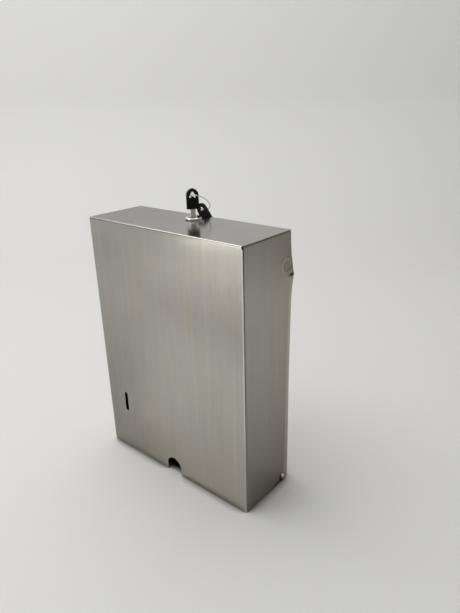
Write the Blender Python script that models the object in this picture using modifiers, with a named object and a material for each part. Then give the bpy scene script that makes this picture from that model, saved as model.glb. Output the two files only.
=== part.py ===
"""Wall dispenser for folded paper towels.

A folded steel cover is pinned to the cabinet at its two lower rear corners and tips forward.
A cam lock in the cover's top holds it to a keeper on the back plate.
Metres, X across, Y towards the wall, Z up, origin in the middle of the footprint at the floor.
"""
import math

import bmesh
import bpy
from mathutils import Matrix, Vector

# Cover: one folded sheet
COVER_WIDTH = 0.260
COVER_DEPTH = 0.090
COVER_HEIGHT = 0.350
COVER_SHEET = 0.0010
COVER_BEND = 0.0016
WALL_GAP = 0.0070
TOP_SEAM = 0.0007
CORNER_RELIEF = 0.0009
SIDE_FLANGE = 0.011
BEND_STEPS = 4

# Cuts in the cover
SIGHT_SLOT_INSET = 0.0378
SIGHT_SLOT_LOW = 0.0660
SIGHT_SLOT_LENGTH = 0.0300
SIGHT_SLOT_WIDTH = 0.0060
NOTCH_X = 0.0010
NOTCH_RADIUS = 0.0130
NOTCH_TOP = 0.0235
CORNER_CUT_RUN = 0.0246
CORNER_CUT_RISE = 0.0095
CORNER_CUT_TURN = -50
CORNER_NICK = 0.0009
PIVOT_LUG_RADIUS = 0.0037

# Dent in the right side, pushed out at the rear edge
DENT_BELOW_TOP = 0.0550
HUMP_OUT = 0.0037
HUMP_DOWN = 0.085
HUMP_INWARD = 0.034
TIP_OUT = 0.0016
TIP_HEIGHT = 0.013
TIP_INWARD = 0.011
GROOVE_DEPTH = 0.0013
GROOVE_HEIGHT = 0.0022
GROOVE_INWARD = 0.0085
RIDGE_OUT = 0.0005
RIDGE_ABOVE_DENT = 0.0105
RIDGE_SETBACK = 0.0095
RIDGE_RADIUS = 0.0090
RIDGE_WIDTH = 0.0024
CREASE_WIDTH_HIGH = 0.0030
CREASE_WIDTH_LOW = 0.0074
CREASE_OUT = 0.0006
CREASE_START = 0.040
DENTED_WIDTH = 0.036
FLAT_COLUMNS = 5
DENT_COLUMNS = 14
CREASE_COLUMNS = 2
ROW_HEIGHT = 0.0046
ROW_SPACE_AT_TIP = 0.0031
PLAIN_ROWS = 3

# Hinge
PIVOT_SETBACK = 0.0102
PIVOT_Z = 0.0074
PIN_RADIUS = 0.0022
PIN_DOME_RADIUS = 0.0033
PIN_DOME_HEIGHT = 0.0019
PIN_TAIL_RADIUS = 0.0038
PIN_TAIL_HEIGHT = 0.0014
HINGE_GAP = 0.0035
SPACER_RADIUS = 0.0042

# Cabinet: back plate, tray and towel guides
BACK_SHEET = 0.0008
BACK_BELOW_TOP = 0.012
BACK_FLANGE = 0.0070
BACK_BEND = 0.0012
WALL_HOLE_RADIUS = 0.0029
WALL_HOLE_INSET = 0.0355
WALL_HOLE_LOW = 0.070
WALL_HOLE_BELOW_TOP = 0.053
TRAY_SHEET = 0.0010
TRAY_ABOVE_NOTCH = 0.0015
TRAY_CHEEK_FOOT = 0.0030
TRAY_CHEEK_FRONT = 0.0080
TRAY_CHEEK_SLOPE = 0.052
TRAY_FRONT_PLAY = 0.0012
TRAY_LIP = 0.0060
TRAY_REAR_FLANGE = 0.014
TRAY_BEND = 0.0016
OUTLET_LENGTH = 0.150
OUTLET_WIDTH = 0.042
OUTLET_SETBACK = 0.0325
OUTLET_RIM = 0.0036
GUIDE_SHEET = 0.0008
GUIDE_INSET = 0.0069
GUIDE_HEIGHT = 0.155
GUIDE_FRONT_PLAY = 0.0100
GUIDE_LIP = 0.0130
GUIDE_FOOT = 0.0060
GUIDE_BEND = 0.0014
GUIDE_SLOPE = 0.034

# Keeper for the lock's cam
KEEPER_SHEET = 0.0015
KEEPER_SIDE_PLAY = 0.0020
KEEPER_WIDTH = 0.0120
KEEPER_FOOT = 0.022
KEEPER_LIP = 0.0080
KEEPER_BEND = 0.0020
KEEPER_DROP = 0.0048
CAM_PLAY = 0.0008

# Cam lock
LOCK_X = -0.0024
LOCK_SETBACK = 0.0233
LOCK_TURN = math.radians(-31.0)
BEZEL_RADIUS = 0.0107
BEZEL_HEIGHT = 0.0025
BEZEL_ROUND = 0.0010
BARREL_RADIUS = 0.0093
BARREL_LENGTH = 0.0170
BARREL_FLATS = 0.0164
PLUG_RADIUS = 0.0057
PLUG_HEAD_RADIUS = 0.0070
PLUG_HEAD_HEIGHT = 0.0014
PLUG_TAIL = 0.0016
PLUG_SQUARE = 0.0058
PLUG_SQUARE_LENGTH = 0.0026
KEYWAY_DEPTH = 0.0160
WASHER_RADIUS = 0.0118
WASHER_THICKNESS = 0.0008
NUT_ACROSS_FLATS = 0.0220
NUT_HEIGHT = 0.0036
CAM_LENGTH = 0.0220
CAM_WIDTH = 0.0100
CAM_THICKNESS = 0.0020
CAM_WASHER_RADIUS = 0.0048
CAM_WASHER_THICKNESS = 0.0008
SCREW_RADIUS = 0.0020
SCREW_HEAD_RADIUS = 0.0036
SCREW_HEAD_HEIGHT = 0.0024
SCREW_HEAD_EDGE = 0.0010
SCREW_SHANK = 0.0055

# Keys and ring
BLADE_WIDTH = 0.0062
BLADE_THICKNESS = 0.0018
BLADE_LENGTH = 0.0255
BLADE_TANG = 0.0080
BLADE_TIP = 0.0026
BLADE_TIP_WIDTH = 0.0018
KEY_GAP_ABOVE_BEZEL = 0.0102
HEAD_WIDTH = 0.0156
HEAD_HEIGHT = 0.0258
HEAD_THICKNESS = 0.0032
HEAD_ROUND = 0.0006
HEAD_POINT = 0.0012
LOOP_WIDTH = 0.0084
LOOP_FOOT = 0.0118
LOOP_SHOULDER = 0.0088
LOOP_APEX = 0.0032
LOOP_BUMP = 0.0021
LOOP_KNEE = 0.62
SPARE_CLEAR = 0.0004
SPARE_LEAN = math.radians(39.0)
SPARE_LEFT_OF_LOCK = 0.0086
SPARE_ARCH_RISE = 0.0081
RING_LONG_HALF = 0.01885
RING_SHORT_HALF = 0.01083
RING_WIRE = 0.0005
RING_FROM_LOCK = Vector((-0.001298, 0.013612, 0.019247))
RING_NORMAL = Vector((-0.4087, 0.5263, 0.7456))
RING_LONG_WAY = Vector((-0.0218, 0.8111, -0.5845))
RING_STEPS = 56

# Gap left between pieces that rest on each other
SEAT = 0.0003

# Places worked out from the sizes
TOTAL_DEPTH = COVER_DEPTH + WALL_GAP
FRONT_Y = -TOTAL_DEPTH / 2
WALL_Y = TOTAL_DEPTH / 2
COVER_REAR_Y = FRONT_Y + COVER_DEPTH
PANEL_Y = WALL_Y - BACK_SHEET
COVER_SIDE_X = COVER_WIDTH / 2
COVER_INNER_X = COVER_SIDE_X - COVER_SHEET
SIGHT_SLOT_X = SIGHT_SLOT_INSET - COVER_SIDE_X
PIVOT_Y = COVER_REAR_Y - PIVOT_SETBACK
TOP_UNDERSIDE_Z = COVER_HEIGHT - COVER_SHEET
SIDE_TOP_Z = TOP_UNDERSIDE_Z - TOP_SEAM
WALL_STRIP_TOP_Z = SIDE_TOP_Z - COVER_BEND
DENT_Z = COVER_HEIGHT - DENT_BELOW_TOP
BACK_HALF = COVER_INNER_X - HINGE_GAP
BACK_HEIGHT = COVER_HEIGHT - BACK_BELOW_TOP
CHEEK_X = BACK_HALF - BACK_SHEET - SEAT
TRAY_FLOOR_Z = NOTCH_TOP + TRAY_ABOVE_NOTCH
TRAY_TOP_Z = TRAY_FLOOR_Z + TRAY_SHEET
TRAY_FRONT_Y = FRONT_Y + COVER_SHEET + TRAY_FRONT_PLAY
TRAY_REAR_Y = PANEL_Y - SEAT
OUTLET_Y = TRAY_FRONT_Y + OUTLET_SETBACK
GUIDE_X = CHEEK_X - GUIDE_INSET
GUIDE_FRONT_Y = FRONT_Y + COVER_SHEET + GUIDE_FRONT_PLAY
LOCK_Y = COVER_REAR_Y - LOCK_SETBACK
BEZEL_FOOT_Z = COVER_HEIGHT + SEAT
BEZEL_TOP_Z = BEZEL_FOOT_Z + BEZEL_HEIGHT
BARREL_END_Z = BEZEL_FOOT_Z - BARREL_LENGTH
PLUG_END_Z = BARREL_END_Z - PLUG_TAIL
CAM_TOP_Z = PLUG_END_Z - SEAT
CAM_FOOT_Z = CAM_TOP_Z - CAM_THICKNESS
CAM_WASHER_TOP_Z = CAM_FOOT_Z - SEAT
SCREW_SEAT_Z = CAM_WASHER_TOP_Z - CAM_WASHER_THICKNESS - SEAT
KEEPER_TOP_Z = CAM_FOOT_Z - KEEPER_DROP
KEEPER_X = LOCK_X - BARREL_RADIUS - KEEPER_SIDE_PLAY - KEEPER_WIDTH / 2
HEAD_FOOT_Z = BEZEL_TOP_Z + KEY_GAP_ABOVE_BEZEL
SPARE_Y = COVER_REAR_Y + SPARE_CLEAR + HEAD_THICKNESS / 2
SPARE_ARCH_Z = COVER_HEIGHT + SPARE_ARCH_RISE

MODEL = "paper_towel_dispenser"
CUTTERS = "cutters"
MERGE = 0.00001
OVERCUT = 0.004

# Facets of round forms
CUT_STEPS = 12
DOME_STEPS = 5
LUG_STEPS = 6
ROUND_STEPS = 4
HEAD_STEPS = 10
PIN_SIDES = 24
LOCK_SIDES = 40


def clear_scene():
    """Remove what the file holds, so that the model starts from nothing."""
    for item in list(bpy.data.objects):
        bpy.data.objects.remove(item, do_unlink=True)
    for group in list(bpy.data.collections):
        bpy.data.collections.remove(group)


def make_collection(name):
    group = bpy.data.collections.new(name)
    bpy.context.scene.collection.children.link(group)
    return group


def make_material(name, colour, roughness, metallic):
    surface = bpy.data.materials.new(name)
    surface.use_nodes = True
    shader = surface.node_tree.nodes["Principled BSDF"]
    shader.inputs["Base Color"].default_value = (*colour, 1.0)
    shader.inputs["Roughness"].default_value = roughness
    shader.inputs["Metallic"].default_value = metallic
    surface.diffuse_color = (*colour, 1.0)
    return surface


def object_from_bmesh(name, bm, surface=None, collection=MODEL):
    mesh = bpy.data.meshes.new(name)
    bm.to_mesh(mesh)
    bm.free()
    item = bpy.data.objects.new(name, mesh)
    bpy.data.collections[collection].objects.link(item)
    if surface:
        mesh.materials.append(surface)
    return item


def hide_cutter(item):
    item.hide_render = True
    item.display_type = "WIRE"
    return item


def box_cutter(name, low, high):
    bm = bmesh.new()
    bmesh.ops.create_cube(bm, size=1.0)
    size = [b - a for a, b in zip(low, high)]
    middle = Vector([(a + b) / 2 for a, b in zip(low, high)])
    bmesh.ops.scale(bm, vec=size, verts=bm.verts)
    bmesh.ops.translate(bm, vec=middle, verts=bm.verts)
    return hide_cutter(object_from_bmesh(name, bm, None, CUTTERS))


def round_cutter(name, centre, axis, radius, length, sides=PIN_SIDES):
    """A cylinder about centre, lying along the X, Y or Z axis."""
    bm = bmesh.new()
    bmesh.ops.create_cone(bm, cap_ends=True, segments=sides, radius1=radius, radius2=radius, depth=length)
    turn = Vector((0, 0, 1)).rotation_difference(Vector(axis)).to_matrix()
    bmesh.ops.rotate(bm, matrix=turn, verts=bm.verts)
    bmesh.ops.translate(bm, vec=centre, verts=bm.verts)
    return hide_cutter(object_from_bmesh(name, bm, None, CUTTERS))


def arc(centre, radius, start, end, steps):
    """Points of an arc in a plane, angles in degrees, both ends included."""
    points = []
    for i in range(steps + 1):
        angle = math.radians(start + (end - start) * i / steps)
        points.append((centre[0] + radius * math.cos(angle), centre[1] + radius * math.sin(angle)))
    return points


def extruded_outline(name, outlines, thickness, matrix, surface=None, collection=MODEL, bevel=0.0):
    """A flat plate from closed outlines, the later ones holes, as a mesh placed by the matrix."""
    curve = bpy.data.curves.new(name, "CURVE")
    curve.dimensions = "2D"
    curve.fill_mode = "BOTH"
    curve.extrude = thickness / 2 - bevel
    curve.bevel_depth = bevel
    curve.bevel_resolution = 1
    curve.offset = -bevel
    for outline in outlines:
        spline = curve.splines.new("POLY")
        spline.points.add(len(outline) - 1)
        for point, (x, y) in zip(spline.points, outline):
            point.co = (x, y, 0.0, 1.0)
        spline.use_cyclic_u = True
    source = bpy.data.objects.new(name + "_outline", curve)
    bpy.data.collections[collection].objects.link(source)
    bpy.context.view_layer.update()
    graph = bpy.context.evaluated_depsgraph_get()
    mesh = bpy.data.meshes.new_from_object(source.evaluated_get(graph))
    bpy.data.objects.remove(source, do_unlink=True)
    bm = bmesh.new()
    bm.from_mesh(mesh)
    bpy.data.meshes.remove(mesh)
    bmesh.ops.remove_doubles(bm, verts=bm.verts, dist=MERGE)
    bmesh.ops.dissolve_degenerate(bm, edges=bm.edges, dist=MERGE)
    bmesh.ops.recalc_face_normals(bm, faces=bm.faces)
    bmesh.ops.transform(bm, matrix=matrix, verts=bm.verts)
    return object_from_bmesh(name, bm, surface, collection)


def cut_outline(item, name, outlines, depth, place):
    """Cut a closed outline, with any holes after it, through a piece."""
    boolean(item, hide_cutter(extruded_outline(name, outlines, depth, place, None, CUTTERS)))


def boolean(item, cutter, operation="DIFFERENCE"):
    step = item.modifiers.new(operation.lower() + "_" + cutter.name, "BOOLEAN")
    step.object = cutter
    step.operation = operation
    step.solver = "EXACT"


def turned(name, profile, surface, steps=PIN_SIDES, axis_matrix=None):
    """A turned piece: radius and height pairs, top to bottom, closed into a loop unless on the axis."""
    bm = bmesh.new()
    verts = [bm.verts.new((radius, 0.0, height)) for radius, height in profile]
    following = verts[1:] + verts[:1] if profile[0][0] else verts[1:]
    for first, second in zip(verts, following):
        bm.edges.new((first, second))
    item = object_from_bmesh(name, bm, surface)
    spin = item.modifiers.new("spin", "SCREW")
    spin.angle = 2 * math.pi
    spin.steps = steps
    spin.render_steps = steps
    spin.use_merge_vertices = True
    spin.merge_threshold = MERGE
    spin.use_smooth_shade = True
    if axis_matrix:
        item.matrix_world = axis_matrix
    return item


def sheet_grid(bm, across, along, place):
    """A rectangular sheet, divided at the given stations and folded by the place function."""
    columns, rows = len(across) - 1, len(along) - 1
    made = bmesh.ops.create_grid(bm, x_segments=columns, y_segments=rows, size=1.0)
    for vert in made["verts"]:
        column = round((vert.co.x + 1) / 2 * columns)
        row = round((vert.co.y + 1) / 2 * rows)
        vert.co = place(across[column], along[row])


def finish_sheet(name, bm, surface, thickness, outward):
    """Join a folded sheet's panels, turn its skin outward and give it a thickness inward."""
    bmesh.ops.remove_doubles(bm, verts=bm.verts, dist=MERGE)
    bmesh.ops.recalc_face_normals(bm, faces=bm.faces)
    bm.faces.ensure_lookup_table()
    probe = max(bm.faces, key=lambda face: abs(face.normal.dot(outward)) * face.calc_area())
    if probe.normal.dot(outward) < 0:
        bmesh.ops.reverse_faces(bm, faces=bm.faces)
    item = object_from_bmesh(name, bm, surface)
    solid = item.modifiers.new("sheet", "SOLIDIFY")
    solid.thickness = thickness
    solid.offset = -1.0
    solid.use_even_offset = True
    return item


def sideways_at(x):
    """Places an outline drawn in Y and Z at this X."""
    turn = Matrix.Rotation(math.pi / 2, 4, "Z") @ Matrix.Rotation(math.pi / 2, 4, "X")
    return Matrix.Translation((x, 0, 0)) @ turn


def folded_path(corners, bend, steps=BEND_STEPS):
    """A line through the corners with each inner corner rounded to the bend radius."""
    path = [Vector(corners[0])]
    for before, corner, after in zip(corners, corners[1:], corners[2:]):
        corner = Vector(corner)
        to_before = (Vector(before) - corner).normalized()
        to_after = (Vector(after) - corner).normalized()
        half = to_before.angle(to_after) / 2
        reach = bend / math.tan(half)
        centre = corner + (to_before + to_after).normalized() * (bend / math.sin(half))
        start = (corner + to_before * reach - centre).normalized()
        end = (corner + to_after * reach - centre).normalized()
        for i in range(steps + 1):
            path.append(centre + start.slerp(end, i / steps) * bend)
    path.append(Vector(corners[-1]))
    return path


def smooth(value):
    """An S-shaped rise from 0 to 1."""
    value = max(0.0, min(1.0, value))
    return value * value * (3 - 2 * value)


def crease_width(z):
    """Width of the strip along the right side's rear edge, wider towards the floor."""
    share = max(0.0, min(1.0, z / DENT_Z))
    return CREASE_WIDTH_LOW + (CREASE_WIDTH_HIGH - CREASE_WIDTH_LOW) * share


def dent_depth(y, z):
    """How far the right side is pushed out at a point of its flat form."""
    inward = COVER_REAR_Y - y
    height = z - DENT_Z
    if height > 0:
        hump = math.sin(math.pi / 2 * max(0.0, 1 - height / (WALL_STRIP_TOP_Z - DENT_Z)))
    else:
        hump = smooth(1 + height / HUMP_DOWN)
    out = HUMP_OUT * hump * max(0.0, 1 - inward / HUMP_INWARD) ** 2
    out += TIP_OUT * smooth(1 - abs(height) / TIP_HEIGHT) * max(0.0, 1 - inward / TIP_INWARD) ** 2
    groove = max(0.0, 1 - abs(height) / GROOVE_HEIGHT) * max(0.0, 1 - inward / GROOVE_INWARD)
    out -= GROOVE_DEPTH * groove * smooth(inward / GROOVE_HEIGHT)
    ring = math.hypot(inward - RIDGE_SETBACK, height - RIDGE_ABOVE_DENT)
    out += RIDGE_OUT * smooth(1 - abs(ring - RIDGE_RADIUS) / RIDGE_WIDTH)
    out += CREASE_OUT * max(0.0, 1 - inward / crease_width(z)) * smooth(-height / CREASE_START)
    return out


def cover_rows():
    """Heights at which the wall strip is divided: close together round the dent, closest at its tip."""
    low = DENT_Z - HUMP_DOWN
    count = round((WALL_STRIP_TOP_Z - low) / ROW_HEIGHT)
    fine = [low + (WALL_STRIP_TOP_Z - low) * i / count for i in range(count + 1)]
    fine = [z for z in fine if abs(z - DENT_Z) > ROW_SPACE_AT_TIP]
    tip = [DENT_Z + GROOVE_HEIGHT * i / 2 for i in range(-2, 3)]
    plain = [low * i / PLAIN_ROWS for i in range(PLAIN_ROWS)]
    return sorted(plain + fine + tip)


def side_station(column, z):
    """Place in Y of a column of the right side: wide ones in front, narrow ones where it is dented."""
    front = FRONT_Y + COVER_BEND
    dented = COVER_REAR_Y - DENTED_WIDTH
    crease = COVER_REAR_Y - crease_width(z)
    if column <= FLAT_COLUMNS:
        return front + (dented - front) * column / FLAT_COLUMNS
    if column <= FLAT_COLUMNS + DENT_COLUMNS:
        return dented + (crease - dented) * (column - FLAT_COLUMNS) / DENT_COLUMNS
    return crease + (COVER_REAR_Y - crease) * (column - FLAT_COLUMNS - DENT_COLUMNS) / CREASE_COLUMNS


def make_cover(steel):
    """Front, top and both sides in one sheet, with seams where the top meets the sides."""
    bm = bmesh.new()
    front_inner = COVER_SIDE_X - COVER_BEND
    side_front = FRONT_Y + COVER_BEND
    side_columns = FLAT_COLUMNS + DENT_COLUMNS + CREASE_COLUMNS
    path = folded_path([(-COVER_SIDE_X, COVER_REAR_Y), (-COVER_SIDE_X, FRONT_Y),
                        (COVER_SIDE_X, FRONT_Y), (COVER_SIDE_X, COVER_REAR_Y)], COVER_BEND)
    left_and_front = path[:-1]
    stations = [(i, None) for i in range(len(left_and_front))]
    for i in range(1, side_columns + 1):
        stations.append((None, i))

    def wall_place(station, z):
        index, column = station
        if column is None:
            return Vector((left_and_front[index].x, left_and_front[index].y, z))
        y = side_station(column, z)
        return Vector((COVER_SIDE_X + dent_depth(y, z), y, z))

    sheet_grid(bm, stations, cover_rows(), wall_place)

    top_path = folded_path([(FRONT_Y, WALL_STRIP_TOP_Z), (FRONT_Y, COVER_HEIGHT),
                            (COVER_REAR_Y, COVER_HEIGHT)], COVER_BEND)
    top_path.insert(-1, Vector((side_front + CORNER_RELIEF, COVER_HEIGHT)))
    sheet_grid(bm, [-front_inner, front_inner], top_path, lambda x, point: Vector((x, point.x, point.y)))

    for side in (-1, 1):
        flange = folded_path([(COVER_SIDE_X, WALL_STRIP_TOP_Z), (COVER_SIDE_X, SIDE_TOP_Z),
                              (COVER_SIDE_X - SIDE_FLANGE, SIDE_TOP_Z)], COVER_BEND)[1:]
        ends = [side_front, COVER_REAR_Y]
        if side > 0:
            ends = [side_station(column, WALL_STRIP_TOP_Z) for column in range(side_columns + 1)]
        sheet_grid(bm, ends, flange, lambda y, point: Vector((side * point.x, y, point.y)))

    bmesh.ops.remove_doubles(bm, verts=bm.verts, dist=MERGE)
    for side in (-1, 1):
        rims = [edge for edge in bm.edges if edge.is_boundary
                and all(abs(v.co.x - side * front_inner) < MERGE for v in edge.verts)
                and all(v.co.z > COVER_HEIGHT - MERGE for v in edge.verts)
                and all(v.co.y > side_front + CORNER_RELIEF - MERGE for v in edge.verts)]
        made = bmesh.ops.extrude_edge_only(bm, edges=rims)
        moved = [part for part in made["geom"] if isinstance(part, bmesh.types.BMVert)]
        bmesh.ops.translate(bm, vec=(side * COVER_BEND, 0, 0), verts=moved)

    cover = finish_sheet("front_cover", bm, steel, COVER_SHEET, Vector((0, -1, 0)))
    cut_cover(cover)
    return cover


def cut_cover(cover):
    """Sight slot, thumb notch, lock hole, pivot holes and the cut lower rear corners."""
    half = SIGHT_SLOT_WIDTH / 2
    low = SIGHT_SLOT_LOW + half
    high = SIGHT_SLOT_LOW + SIGHT_SLOT_LENGTH - half
    slot = arc((SIGHT_SLOT_X, high), half, 0, 180, CUT_STEPS)
    slot += arc((SIGHT_SLOT_X, low), half, 180, 360, CUT_STEPS)
    upright = Matrix.Translation((0, FRONT_Y, 0)) @ Matrix.Rotation(math.pi / 2, 4, "X")
    cut_outline(cover, "sight_slot_cut", [slot], OVERCUT, upright)

    middle = NOTCH_TOP - NOTCH_RADIUS
    notch = arc((NOTCH_X, middle), NOTCH_RADIUS, 0, 180, 2 * CUT_STEPS)
    notch += [(NOTCH_X - NOTCH_RADIUS, -OVERCUT), (NOTCH_X + NOTCH_RADIUS, -OVERCUT)]
    cut_outline(cover, "thumb_notch_cut", [notch], OVERCUT, upright)

    play = SEAT + BARREL_RADIUS
    flat_half = BARREL_FLATS / 2 + SEAT
    lean = math.degrees(math.asin(flat_half / play))
    hole = arc((0, 0), play, -lean, lean, CUT_STEPS) + arc((0, 0), play, 180 - lean, 180 + lean, CUT_STEPS)
    place = Matrix.Translation((LOCK_X, LOCK_Y, COVER_HEIGHT)) @ Matrix.Rotation(LOCK_TURN, 4, "Z")
    cut_outline(cover, "lock_hole_cut", [hole], OVERCUT, place)

    run_start = COVER_REAR_Y - CORNER_CUT_RUN
    to_pivot = math.hypot(PIVOT_Y - run_start, PIVOT_Z)
    slope = math.atan2(PIVOT_Z, PIVOT_Y - run_start) - math.asin(PIVOT_LUG_RADIUS / to_pivot)
    tangent = math.degrees(slope) - 90
    corner = [(run_start - CORNER_NICK, -OVERCUT), (run_start - CORNER_NICK, CORNER_NICK)]
    corner += [(run_start + CORNER_NICK, CORNER_NICK * 2)]
    corner += arc((PIVOT_Y, PIVOT_Z), PIVOT_LUG_RADIUS, tangent, CORNER_CUT_TURN, LUG_STEPS)
    corner += [(COVER_REAR_Y, CORNER_CUT_RISE), (COVER_REAR_Y + OVERCUT, CORNER_CUT_RISE)]
    corner += [(COVER_REAR_Y + OVERCUT, -OVERCUT)]
    for side, word in ((-1, "left"), (1, "right")):
        middle = side * (COVER_SIDE_X - COVER_SHEET / 2)
        cut_outline(cover, "corner_cut_" + word, [corner], OVERCUT, sideways_at(middle))
        centre = (middle, PIVOT_Y, PIVOT_Z)
        boolean(cover, round_cutter("pivot_hole_" + word, centre, (1, 0, 0), PIN_RADIUS + SEAT, OVERCUT))


def make_hinges(steel, dull_steel):
    """Two pins fixed in the tray's cheeks, each with a spacer between cheek and cover."""
    for side, word in ((-1, "left"), (1, "right")):
        turn = Matrix.Rotation(side * math.pi / 2, 4, "Y")
        place = Matrix.Translation((0, PIVOT_Y, PIVOT_Z)) @ turn
        seat = COVER_SIDE_X + SEAT
        inner = CHEEK_X - TRAY_SHEET - SEAT
        end = inner - PIN_TAIL_HEIGHT
        round_off = PIN_TAIL_HEIGHT / 2
        dome = arc((0, 0), 1.0, 90, 0, DOME_STEPS)
        pin = [(0.0, seat + PIN_DOME_HEIGHT)]
        pin += [(PIN_DOME_RADIUS * x, seat + PIN_DOME_HEIGHT * z) for x, z in dome[1:]]
        pin += [(PIN_RADIUS, seat), (PIN_RADIUS, inner), (PIN_TAIL_RADIUS, inner)]
        pin += [(PIN_TAIL_RADIUS, inner - round_off), (PIN_TAIL_RADIUS - round_off, end), (0.0, end)]
        turned("hinge_pin_" + word, pin, steel, PIN_SIDES, place)
        bore = PIN_RADIUS + SEAT
        low = CHEEK_X + SEAT
        high = COVER_INNER_X - SEAT
        spacer = [(bore, high), (SPACER_RADIUS, high), (SPACER_RADIUS, low), (bore, low)]
        turned("hinge_spacer_" + word, spacer, dull_steel, PIN_SIDES, place)


def make_back_plate(steel):
    """Back panel with a shallow flange down each side and four holes for wall screws."""
    bm = bmesh.new()
    front = WALL_Y - BACK_FLANGE
    path = folded_path([(-BACK_HALF, front), (-BACK_HALF, WALL_Y),
                        (BACK_HALF, WALL_Y), (BACK_HALF, front)], BACK_BEND)
    sheet_grid(bm, path, [0.0, BACK_HEIGHT], lambda point, z: Vector((point.x, point.y, z)))
    back = finish_sheet("back_plate", bm, steel, BACK_SHEET, Vector((0, 1, 0)))
    for z, level in ((WALL_HOLE_LOW, "low"), (BACK_HEIGHT - WALL_HOLE_BELOW_TOP, "high")):
        for side, word in ((-1, "left"), (1, "right")):
            centre = (side * (BACK_HALF - WALL_HOLE_INSET), WALL_Y, z)
            name = "wall_hole_" + level + "_" + word
            boolean(back, round_cutter(name, centre, (0, 1, 0), WALL_HOLE_RADIUS, OVERCUT))
    return back


def stadium(centre, length, width, steps=CUT_STEPS):
    """An outline with straight long sides and half-round ends, long in X."""
    half = width / 2
    reach = length / 2 - half
    right = arc((centre[0] + reach, centre[1]), half, -90, 90, steps)
    left = arc((centre[0] - reach, centre[1]), half, 90, 270, steps)
    return right + left


def make_tray(steel):
    """Towel shelf with cheeks down to the hinge, front lip, rear flange and the rimmed paper outlet."""
    bm = bmesh.new()
    floor_half = CHEEK_X - TRAY_BEND
    path = folded_path([(-CHEEK_X, TRAY_CHEEK_FOOT), (-CHEEK_X, TRAY_TOP_Z),
                        (CHEEK_X, TRAY_TOP_Z), (CHEEK_X, TRAY_CHEEK_FOOT)], TRAY_BEND)
    lip_y = TRAY_FRONT_Y + TRAY_BEND
    flange_y = TRAY_REAR_Y - TRAY_BEND
    inner_bend = TRAY_BEND - TRAY_SHEET
    sheet_grid(bm, path, [lip_y, flange_y], lambda point, y: Vector((point.x, y, point.y)))
    sides = [-floor_half, floor_half]
    front = TRAY_FRONT_Y + TRAY_SHEET
    rear = TRAY_REAR_Y - TRAY_SHEET
    lip_top = TRAY_TOP_Z + TRAY_LIP
    flange_top = TRAY_TOP_Z + TRAY_REAR_FLANGE
    lip = folded_path([(flange_y, TRAY_TOP_Z), (front, TRAY_TOP_Z), (front, lip_top)], inner_bend)[1:]
    flange = folded_path([(lip_y, TRAY_TOP_Z), (rear, TRAY_TOP_Z), (rear, flange_top)], inner_bend)[1:]
    sheet_grid(bm, sides, lip, lambda x, point: Vector((x, point.x, point.y)))
    sheet_grid(bm, sides, flange, lambda x, point: Vector((x, point.x, point.y)))
    tray = finish_sheet("bottom_tray", bm, steel, TRAY_SHEET, Vector((0, 0, 1)))

    flat = Matrix.Translation((0, 0, TRAY_FLOOR_Z + TRAY_SHEET / 2 - OUTLET_RIM / 2))
    rim = stadium((0, OUTLET_Y), OUTLET_LENGTH, OUTLET_WIDTH)
    hole = stadium((0, OUTLET_Y), OUTLET_LENGTH - 2 * TRAY_SHEET, OUTLET_WIDTH - 2 * TRAY_SHEET)
    collar = extruded_outline("outlet_rim", [rim, hole], OUTLET_RIM, flat, None, CUTTERS)
    cut_outline(tray, "outlet_cut", [hole], OUTLET_RIM + OVERCUT, flat)
    boolean(tray, hide_cutter(collar), "UNION")

    cut_end = lip_y + TRAY_CHEEK_SLOPE
    high = TRAY_TOP_Z - TRAY_CHEEK_FRONT
    below = TRAY_CHEEK_FOOT - OVERCUT
    slope = [(lip_y - OVERCUT, below), (cut_end, below), (cut_end, TRAY_CHEEK_FOOT)]
    slope += [(lip_y, high), (lip_y - OVERCUT, high)]
    for side, word in ((-1, "left"), (1, "right")):
        middle = side * (CHEEK_X - TRAY_SHEET / 2)
        cut_outline(tray, "cheek_cut_" + word, [slope], OVERCUT, sideways_at(middle))
        centre = (middle, PIVOT_Y, PIVOT_Z)
        boolean(tray, round_cutter("cheek_hole_" + word, centre, (1, 0, 0), PIN_RADIUS + SEAT, OVERCUT))
    return tray


def make_guides(steel):
    """Upright guides that keep the towels in line, each with a lip across their front corner."""
    foot_z = TRAY_TOP_Z + SEAT
    rear = PANEL_Y - SEAT - TRAY_SHEET - SEAT
    for side, word in ((-1, "left"), (1, "right")):
        bm = bmesh.new()
        path = folded_path([(GUIDE_X - GUIDE_LIP, GUIDE_FRONT_Y), (GUIDE_X, GUIDE_FRONT_Y),
                            (GUIDE_X, rear), (GUIDE_X - GUIDE_FOOT, rear)], GUIDE_BEND)
        top = foot_z + GUIDE_HEIGHT
        sheet_grid(bm, path, [foot_z, top], lambda point, z: Vector((side * point.x, point.y, z)))
        guide = finish_sheet("side_guide_" + word, bm, steel, GUIDE_SHEET, Vector((side, 0, 0)))
        before = GUIDE_FRONT_Y - OVERCUT
        low = top - GUIDE_SLOPE
        slope = [(before, top + OVERCUT), (before, low), (GUIDE_FRONT_Y + GUIDE_BEND, low)]
        slope += [(GUIDE_FRONT_Y + GUIDE_SLOPE, top + OVERCUT)]
        middle = side * (GUIDE_X - GUIDE_LIP / 2)
        cut_outline(guide, "guide_cut_" + word, [slope], GUIDE_LIP + OVERCUT, sideways_at(middle))


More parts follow.
